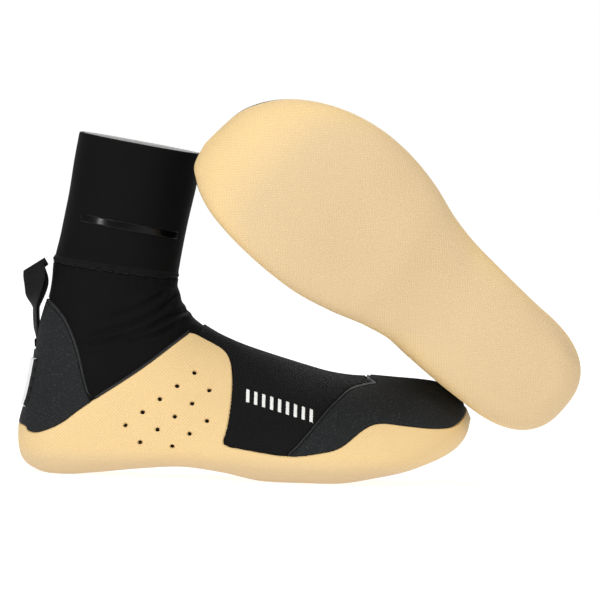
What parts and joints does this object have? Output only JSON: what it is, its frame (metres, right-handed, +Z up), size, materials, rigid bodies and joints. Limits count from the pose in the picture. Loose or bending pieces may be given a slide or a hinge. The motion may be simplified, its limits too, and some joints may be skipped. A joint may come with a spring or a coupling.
{
  "type": "neoprene boots",
  "caption": "A pair of ankle-high neoprene water boots with cream wrap-round rubber soles, charcoal toe and heel guards, vented side wings and heel pull loops.",
  "frame": {"origin": "on the floor, at the middle of the right boot's flat heel tread", "axes": "+X towards the right boot's toe, +Y towards its inner side, +Z up its shaft; the left boot is held sole-out above the right one's toe"},
  "size_m": [0.3579, 0.2628, 0.2461],
  "materials": {
    "sole_rubber": "matt cream rubber with a fine diamond weave pressed into it",
    "guard_rubber": "matt charcoal rubber with a fine weave",
    "neoprene": "matt black jersey over foam",
    "mesh": "matt black knitted mesh",
    "lining": "light grey knitted lining",
    "footbed_foam": "dark grey foam with a cloth top",
    "thread": "black thread",
    "tape": "black seam tape",
    "gloss_film": "glossy black film",
    "sealant": "satin dark grey bead",
    "print_ink": "matt off-white print",
    "label_fabric": "white woven label",
    "webbing": "black ribbed webbing"
  },
  "bodies": {
    "right_foot": {"right_outsole": "sole_rubber", "right_footbed": "footbed_foam", "right_foot_shell": "neoprene", "right_foot_lining": "lining", "right_vamp_mesh": "mesh", "right_toe_cap": "guard_rubber", "right_heel_counter": "guard_rubber", "right_ankle_panel": "neoprene", "right_ankle_lining": "lining", "right_wing_seal": "sealant", "right_counter_seal": "sealant", "right_toe_cap_seal": "sealant", "right_vamp_print": "print_ink", "right_heel_label": "label_fabric", "right_pull_loop_bartack": "thread"},
    "right_shaft": {"right_cuff": "neoprene", "right_cuff_lining": "lining", "right_cuff_seam_stitch": "thread", "right_cuff_seam_tape": "tape", "right_grip_strip": "gloss_film"},
    "right_pull_loop_body": {"right_pull_loop": "webbing"},
    "left_foot": {"left_outsole": "sole_rubber", "left_footbed": "footbed_foam", "left_foot_shell": "neoprene", "left_foot_lining": "lining", "left_vamp_mesh": "mesh", "left_toe_cap": "guard_rubber", "left_heel_counter": "guard_rubber", "left_ankle_panel": "neoprene", "left_ankle_lining": "lining", "left_wing_seal": "sealant", "left_counter_seal": "sealant", "left_toe_cap_seal": "sealant", "left_vamp_print": "print_ink", "left_heel_label": "label_fabric", "left_pull_loop_bartack": "thread"},
    "left_shaft": {"left_cuff": "neoprene", "left_cuff_lining": "lining", "left_cuff_seam_stitch": "thread", "left_cuff_seam_tape": "tape", "left_grip_strip": "gloss_film"},
    "left_pull_loop_body": {"left_pull_loop": "webbing"}
  },
  "joints": [
    {"name": "right_ankle_lean", "type": "hinge", "parent": "right_foot", "child": "right_shaft", "pos_m": [0.032, 0, 0.108], "axis": [0, 1, 0], "range_deg": [-4, 20], "stiffness_Nm_per_rad": 2, "deforming": ["right_ankle_panel", "right_ankle_lining"]},
    {"name": "right_pull_loop_swing", "type": "hinge", "parent": "right_foot", "child": "right_pull_loop_body", "pos_m": [-0.0197, 0, 0.0863], "axis": [0, 1, 0], "range_deg": [-40, 0], "stiffness_Nm_per_rad": 0.02},
    {"name": "left_boot_lift", "type": "slide", "parent": "right_foot", "child": "left_foot", "axis": [0.5, 0, 0.866], "range_m": [0, 0.3]},
    {"name": "left_ankle_lean", "type": "hinge", "parent": "left_foot", "child": "left_shaft", "pos_m": [0.25273, 0.04922, 0.10397], "axis": [0.6146, 0.0335, 0.7881], "range_deg": [-4, 20], "stiffness_Nm_per_rad": 2, "deforming": ["left_ankle_panel", "left_ankle_lining"]},
    {"name": "left_pull_loop_swing", "type": "hinge", "parent": "left_foot", "child": "left_pull_loop_body", "pos_m": [0.29678, 0.04262, 0.06991], "axis": [0.6146, 0.0335, 0.7881], "range_deg": [-40, 0], "stiffness_Nm_per_rad": 0.02}
  ]
}
